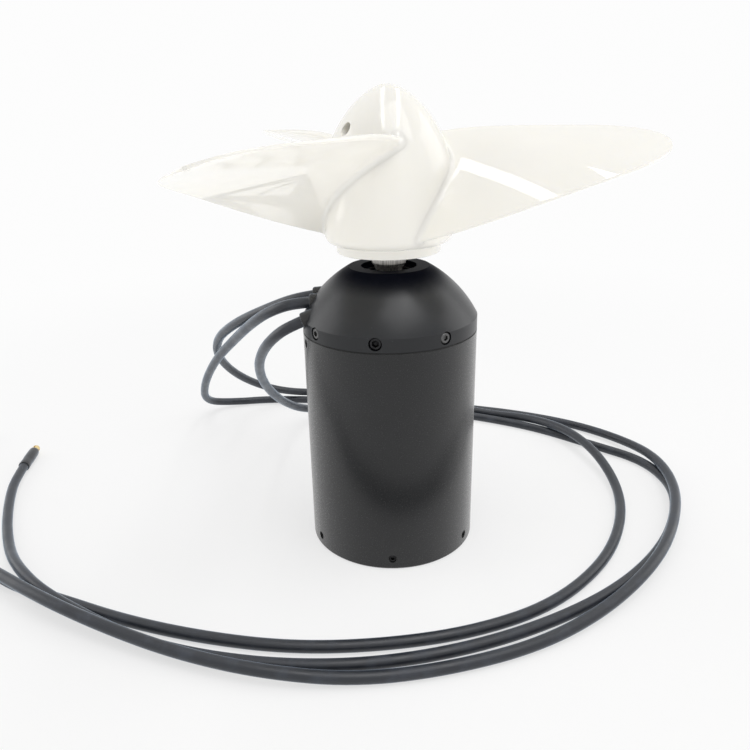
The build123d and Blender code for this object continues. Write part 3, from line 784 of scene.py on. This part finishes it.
def hub_reach(height):
    """Radius of the hub at a height: a round shoulder, a slight taper and a domed nose."""
    if height < HUB_SHOULDER:
        drop = min(1.0, (HUB_SHOULDER - height) / HUB_ROUND)
        return HUB_RADIUS - HUB_ROUND * (1.0 - math.sqrt(1.0 - drop ** 2))
    if height < NOSE_START:
        share = (height - HUB_SHOULDER) / (NOSE_START - HUB_SHOULDER)
        return HUB_RADIUS + (NOSE_RADIUS - HUB_RADIUS) * share
    rise = min(1.0, (height - NOSE_START) / NOSE_RISE)
    return NOSE_RADIUS * (1.0 - rise ** 1.6) ** 0.59


def clearance(spot):
    """Distance of a place from the hub's surface."""
    step = 0.2
    slope = (hub_reach(spot.z + step) - hub_reach(spot.z - step)) / (2 * step)
    return (spot.xy.length - hub_reach(spot.z)) / math.sqrt(1.0 + slope ** 2)


def law(terms, x):
    """One of the blade's laws at a share of its span."""
    return terms[0] + terms[1] * x + terms[2] * x ** 2


def blade_place(turn, x):
    """A place on the blade: turn runs once round the section, x from root to tip."""
    sizes = bpy.context.scene.motor_propeller
    start, tip = sizes.blade_start / MM, sizes.blade_tip / MM
    half = law(CHORD, x) * math.sqrt(max(0.0, 1.0 - x ** 4)) / 2
    twist = math.radians(law(TWIST, x))
    belly = min(1.3 + 5.2 * (1 - x) ** 1.6, 0.7 * half) / 2
    rim, edge = 0.45 + (1 - x) ** 2, 0.35 + 0.25 * (1 - x)
    along = -math.cos(math.tau * turn)
    swell = belly + 0.5 * (rim - edge) * along - (belly - 0.5 * (rim + edge)) * along ** 2
    nose = min(rim if along > 0 else edge, 0.6 * half)
    inset = (abs(along) - 1.0) * half + nose
    if inset > 0:
        swell *= math.sqrt(max(0.0, 1.0 - (inset / nose) ** 2))
    out = math.copysign(swell, math.sin(math.tau * turn))
    u = along * half
    return Vector((
        start + (tip - start) * x,
        law(SKEW, x) + u * math.cos(twist) - out * math.sin(twist),
        law(LIFT, x) + u * math.sin(twist) + out * math.cos(twist),
    ))


def span_at(turn, gap):
    """Where along its span the blade's skin is a given distance from the hub."""
    low, high = 0.0, 0.6
    for _ in range(22):
        middle = (low + high) / 2
        if clearance(blade_place(turn, middle)) < gap:
            low = middle
        else:
            high = middle
    return low


def flared(turn, x, gap, push):
    """A place on the blade's skin pushed outwards along the hub, at its distance from the hub."""
    spot = blade_place(turn, x)
    round_way = blade_place(turn + 0.003, x) - blade_place(turn - 0.003, x)
    span_way = blade_place(turn, x + 0.003) - blade_place(turn, x - 0.003)
    out = span_way.cross(round_way).normalized()
    hub_way = Vector((spot.x, spot.y, 0.0)).normalized()
    out = (out - hub_way * out.dot(hub_way)).normalized()
    moved = spot + out * push
    reach = hub_reach(moved.z) + gap
    moved.xy *= reach / moved.xy.length
    return moved


def blade_mesh(turn_degrees):
    """One blade: a closed skin that flares in a round fillet, with its foot sunk in the hub."""
    fillet = bpy.context.scene.motor_propeller.root_fillet / MM
    sunk, spread = 0.5, 0.7
    around, arc_rows, span_rows = 112, 10, 72
    rows = arc_rows + span_rows
    bm = bmesh.new()
    bmesh.ops.create_grid(bm, x_segments=around, y_segments=rows, size=1.0)
    ends = [span_at(column / around, fillet) for column in range(around)]
    for vert in bm.verts:
        column = round((vert.co.x + 1.0) / 2.0 * around) % around
        row = round((vert.co.y + 1.0) / 2.0 * rows)
        turn = column / around
        if row == 0:
            spot = flared(turn, span_at(turn, 0.0), -sunk, fillet + spread)
        elif row <= arc_rows:
            angle = (row - 1) / arc_rows * math.pi / 2
            gap, push = fillet * (1.0 - math.cos(angle)), fillet * (1.0 - math.sin(angle))
            spot = flared(turn, span_at(turn, gap), gap, push)
        else:
            share = (row - arc_rows) / span_rows
            end = ends[column]
            spot = blade_place(turn, end + (1.0 - end) * math.sin(math.pi / 2 * share))
        vert.co = spot * MM
    bmesh.ops.remove_doubles(bm, verts=bm.verts, dist=2e-6)
    cap(bm, [e for e in bm.edges if e.is_boundary])
    turn = Matrix.Rotation(math.radians(turn_degrees), 3, "Z")
    bmesh.ops.rotate(bm, matrix=turn, verts=bm.verts)
    return finish_mesh(bm, "blade")


def hub_mesh():
    """The hub with its stepped neck, domed nose and bore."""
    neck, bore, bore_top, step = 20.2, 8.0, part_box("hub_insert")[1][2] / MM, 127.0
    foot = [(bore, HUB_FOOT), (neck - 0.5, HUB_FOOT), (neck - 0.15, HUB_FOOT + 0.15),
            (neck, HUB_FOOT + 0.5), (neck, step), (20.9, step)]
    heights = [127.1, 127.3, 127.6, 128.0, 128.6, 129.3, 130.0, HUB_SHOULDER, 134.0, 138.0, 142.0,
               146.0, 150.0, NOSE_START]
    turns = 44
    heights += [NOSE_START + NOSE_RISE * math.sin(math.pi / 2 * i / turns)
                for i in range(1, turns + 1)]
    side = [(hub_reach(height), height) for height in heights]
    profile = foot + side + [(0.0, bore_top), (bore, bore_top)]
    return turned("hub", [(r * MM, z * MM) for r, z in profile], 180)


def carved(mesh, cutter):
    """A mesh with another one cut out of it."""
    body, tool = new_object("body", mesh), new_object("tool", cutter)
    cut = body.modifiers.new("cut", "BOOLEAN")
    cut.operation, cut.solver, cut.object = "DIFFERENCE", "EXACT", tool
    seen = body.evaluated_get(bpy.context.evaluated_depsgraph_get())
    made = bpy.data.meshes.new_from_object(seen)
    for item, data in ((body, mesh), (tool, cutter)):
        bpy.data.objects.remove(item)
        bpy.data.meshes.remove(data)
    return made


# Operators

class MotorFinishes(bpy.types.Operator):
    """Make the finishes and put each on the CAD parts of its slot"""
    bl_idname = "motor.finishes"
    bl_label = "Finishes"

    def execute(self, context):
        make_finishes()
        for part in frame["record"]["subparts"]:
            mesh = NODES[part["node"]].data
            mesh.materials.clear()
            mesh.materials.append(FINISHES[part["material_slot"]])
        return {"FINISHED"}


class MotorWires(bpy.types.Operator):
    """Lay the three phase wires, with their bushes, sleeves and bullet pins"""
    bl_idname = "motor.wires"
    bl_label = "Phase wires"

    def execute(self, context):
        for name in WIRE_ROUTES:
            curve, mouth = wire_curve(name)
            curve.materials.append(FINISHES["wire_silicone"])
            wire = new_object("wire_" + name, curve)
            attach(wire, "housing")
            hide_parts("phase_wire_" + name)
            add_piece("wire_bush_" + name, [bush_mesh(name)], "seal_rubber", "housing",
                      ["wire_grommet_" + name])
            sleeve = add_piece("shrunk_sleeve_" + name, [sleeve_mesh(name)], "heatshrink_plastic",
                               "housing", ["heatshrink_" + name])
            pin = add_piece("slit_pin_" + name, [pin_mesh(name)], "gold_plate", "housing",
                            ["bullet_pin_" + name])
        return {"FINISHED"}


class MotorScrews(bpy.types.Operator):
    """Make the screws round the foot, the dome, the filler plug and the nose"""
    bl_idname = "motor.screws"
    bl_label = "Screws"

    def execute(self, context):
        sizes = context.scene.motor_screws
        grub = (sizes.grub_radius, 7.2 * MM, sizes.grub_key, 1.5 * MM, sizes.edge)
        foot = [socket_screw_mesh(*grub, radial_frame(GRUB_SEAT, *spot)) for spot in BASE_SCREWS]
        add_piece("foot_screws", foot, "black_screw", "housing", ["base_screws"])
        lock = socket_screw_mesh(*grub, radial_frame(GRUB_SEAT, *LOCK_SCREW))
        add_piece("can_lock_screw", [lock], "black_screw", "housing", ["tube_lock_screw"])
        heads = []
        shank, low, high = 1.2 * MM, -7.9 * MM, -2.0 * MM
        for spot in DOME_SCREWS:
            place = radial_frame(HEAD_SEAT, *spot)
            heads.append(socket_screw_mesh(sizes.head_radius, 2.1 * MM, sizes.head_key, 1.2 * MM,
                                           1.4 * sizes.edge, place))
            heads.append(turned("shank", [
                (0.0, low), (shank - 0.2 * MM, low), (shank, low + 0.2 * MM), (shank, high),
                (0.0, high),
            ], 20, place, closed=False))
        add_piece("band_screws", heads, "steel_screw", "housing", ["dome_screws"])
        plug = socket_screw_mesh(sizes.plug_radius, 7.2 * MM, sizes.plug_key, 2.2 * MM,
                                 1.6 * sizes.edge, radial_frame(PLUG_SEAT, *FILLER_PLUG))
        add_piece("oil_filler_plug", [plug], "black_screw", "housing", ["filler_plug"])
        nose = socket_screw_mesh(2.05 * MM, 7.0 * MM, 2.5 * MM, 2.0 * MM, sizes.edge,
                                 radial_frame(NOSE_SEAT, *NOSE_SCREW))
        add_piece("nose_set_screw", [nose], "steel_screw", "rotor", ["propeller_set_screw"])
        return {"FINISHED"}


class MotorRetainingRing(bpy.types.Operator):
    """Make the retaining ring with its two eyes over the shaft seal"""
    bl_idname = "motor.retaining_ring"
    bl_label = "Retaining ring"

    def execute(self, context):
        add_piece("retaining_ring", [retaining_ring_mesh()], "black_spring_steel", "housing",
                  ["seal_circlip"])
        return {"FINISHED"}


class MotorPropeller(bpy.types.Operator):
    """Make the moulded propeller, with fillets where its blades meet the hub"""
    bl_idname = "motor.propeller"
    bl_label = "Propeller"

    def execute(self, context):
        sizes = context.scene.motor_propeller
        first = math.degrees(sizes.blade_angle)
        hole, low, high = sizes.screw_hole, 6.0 * MM, 30.0 * MM
        cutter = turned("cutter", [(0.0, low), (hole, low), (hole, high), (0.0, high)], 48,
                        radial_frame(0.0, *NOSE_SCREW), closed=False)
        parts = [carved(hub_mesh(), cutter)]
        for i in range(sizes.blades):
            parts.append(blade_mesh(first + 360.0 * i / sizes.blades))
        add_piece("bush_neck", [bush_neck_mesh()], "shaft_steel", "rotor", ["hub_insert"])
        add_piece("flared_collar", [collar_mesh()], "shaft_steel", "rotor", finish="drawn_steel")
        add_piece("moulded_propeller", parts, "propeller_plastic", "rotor", ["propeller"],
                  crease=40.0)
        return {"FINISHED"}


class MotorSeam(bpy.types.Operator):
    """Lay the thin line of sealant in the seam between the can and the dome, darkened as painted
    shade of the gap
    """
    bl_idname = "motor.seam"
    bl_label = "Seam"

    def execute(self, context):
        add_piece("seam_line", [seam_mesh()], "seal_rubber", "housing", finish="seam_sealant")
        return {"FINISHED"}


class MotorStage(bpy.types.Operator):
    """Set the floor, the backdrop, the lights and the camera"""
    bl_idname = "motor.stage"
    bl_label = "Stage"

    def execute(self, context):
        settings = context.scene.motor_stage
        lay_floor(settings)
        light_world(settings)
        for lamp in LAMPS:
            add_lamp(*lamp)
        place_camera(settings)
        context.scene.view_settings.view_transform = "Standard"
        return {"FINISHED"}


# Stage

# Soft lamps: where each hangs, what it looks at, its width and height, and its watts
LAMPS = [
    ("front_box", (0.30, -0.42, 1.35), (0.0, 0.0, 0.1), (1.0, 1.0), 6.2),
    ("left_box", (-1.05, 0.2, 0.4), (0.0, 0.0, 0.12), (0.8, 1.0), 3.3),
    ("right_box", (1.05, 0.3, 0.45), (0.0, 0.0, 0.12), (0.8, 1.1), 3.4),
    ("left_tube", (-0.16, 0.12, 1.4), (-0.16, 0.12, 0.0), (0.14, 1.8), 2.8),
    ("right_tube", (0.42, 0.3, 1.4), (0.42, 0.3, 0.0), (0.14, 1.9), 2.8),
]


def seen_rays(tree):
    """1 for a ray that the camera sees straight, mirrored or through something."""
    path = tree.add("ShaderNodeLightPath")
    straight = tree.math("MAXIMUM", path["Is Camera Ray"], path["Is Glossy Ray"])
    return tree.math("MAXIMUM", straight, path["Is Transmission Ray"])


def lay_floor(settings):
    """A wide pale floor that glows white to the camera and keeps soft shadows."""
    half_width, below = 6.0, 0.0002
    bm = bmesh.new()
    bmesh.ops.create_grid(bm, x_segments=1, y_segments=1, size=half_width)
    bmesh.ops.translate(bm, vec=(0, 0, -below), verts=bm.verts)
    mesh = bpy.data.meshes.new("floor")
    bm.to_mesh(mesh)
    bm.free()
    floor = new_object("floor", mesh)
    material = bpy.data.materials.new("pale_floor")
    tree = Tree(material)
    tree.tree.nodes.clear()
    matt = tree.add("ShaderNodeBsdfDiffuse", {"Color": (0.92, 0.92, 0.92, 1.0)})[0]
    seen = seen_rays(tree)
    upward = tree.math("MULTIPLY", tree.math("SUBTRACT", 1.0, seen), settings.table)
    lit = tree.add("ShaderNodeAddShader", (matt, tree.source("ShaderNodeEmission", upward)))[0]
    place = tree.add("ShaderNodeTexCoord")["Object"]
    away = tree.add("ShaderNodeVectorMath", (place,), operation="LENGTH")["Value"]
    fade = tree.span(away, 0.2, 0.6, 1.0 - settings.shadow, 1.0)
    glow = tree.source("ShaderNodeEmission", settings.white)
    surface = tree.mixed(tree.math("MULTIPLY", seen, fade), lit, glow)
    tree.add("ShaderNodeOutputMaterial", {"Surface": surface})
    mesh.materials.append(material)


def light_world(settings):
    """Even white light, with a plain white backdrop for the rays that the camera sees."""
    world = bpy.data.worlds.new("studio")
    bpy.context.scene.world = world
    tree = Tree(world)
    tree.tree.nodes.clear()
    even, white = (tree.source("ShaderNodeBackground", strength)
                   for strength in (settings.ambient, settings.white))
    tree.add("ShaderNodeOutputWorld", {"Surface": tree.mixed(seen_rays(tree), even, white)})


def add_lamp(name, place, aim, size, power):
    """One rectangular area lamp that looks at a point."""
    lamp = bpy.data.lights.new(name, "AREA")
    lamp.shape = "RECTANGLE"
    lamp.size, lamp.size_y = size
    lamp.energy = power
    holder = new_object(name, lamp)
    holder.location = place
    holder.rotation_euler = (Vector(aim) - Vector(place)).to_track_quat("-Z", "Y").to_euler()


def place_camera(settings):
    """Camera at the photograph's view, with its axis off the middle."""
    pitch, yaw, roll = settings.pitch, settings.yaw, settings.roll
    flat = math.cos(pitch)
    look = Vector((math.sin(yaw) * flat, math.cos(yaw) * flat, -math.sin(pitch)))
    level = Vector((math.cos(yaw), -math.sin(yaw), 0.0))
    upright = level.cross(look)
    right = math.cos(roll) * level + math.sin(roll) * upright
    up = math.cos(roll) * upright - math.sin(roll) * level
    turn = Matrix((right, up, -look)).transposed().to_4x4()
    lens = bpy.data.cameras.new("camera")
    lens.sensor_width = 36.0
    lens.lens = lens.sensor_width * settings.focal / settings.frame_size
    lens.shift_x = 0.5 - settings.axis_x / settings.frame_size
    lens.shift_y = settings.axis_y / settings.frame_size - 0.5
    lens.clip_start = 0.01
    camera = new_object("camera", lens)
    camera.matrix_world = Matrix.Translation(settings.place) @ turn
    bpy.context.scene.camera = camera


# Panel and registration

class MotorPanel(bpy.types.Panel):
    """Lists the motor's pieces, finishes and stage"""
    bl_idname = "VIEW3D_PT_motor"
    bl_label = "Paddle Board Motor"
    bl_space_type = "VIEW_3D"
    bl_region_type = "UI"
    bl_category = "Motor"

    def draw(self, context):
        column = self.layout.column(align=True)
        for operator in OPERATORS:
            column.operator(operator.bl_idname)
        for group in SETTINGS:
            settings = getattr(context.scene, group)
            box = self.layout.box()
            for key in settings.bl_rna.properties.keys():
                if key not in ("rna_type", "name"):
                    box.prop(settings, key)


OPERATORS = (MotorFinishes, MotorStage, MotorWires, MotorPropeller, MotorScrews,
             MotorRetainingRing, MotorSeam)
SETTINGS = {
    "motor_wires": MotorWireSettings,
    "motor_propeller": MotorPropellerSettings,
    "motor_screws": MotorScrewSettings,
    "motor_finish": MotorFinishSettings,
    "motor_stage": MotorStageSettings,
}


def register():
    for cls in (*SETTINGS.values(), *OPERATORS, MotorPanel):
        bpy.utils.register_class(cls)
    for name, cls in SETTINGS.items():
        setattr(bpy.types.Scene, name, PointerProperty(type=cls))


def unregister():
    for name in SETTINGS:
        delattr(bpy.types.Scene, name)
    for cls in reversed((*SETTINGS.values(), *OPERATORS, MotorPanel)):
        bpy.utils.unregister_class(cls)


def main():
    register()
    bpy.ops.motor.finishes()
    bpy.ops.motor.stage()
    bpy.ops.motor.wires()
    bpy.ops.motor.propeller()
    bpy.ops.motor.screws()
    bpy.ops.motor.retaining_ring()
    bpy.ops.motor.seam()


if __name__ == "__main__":
    main()
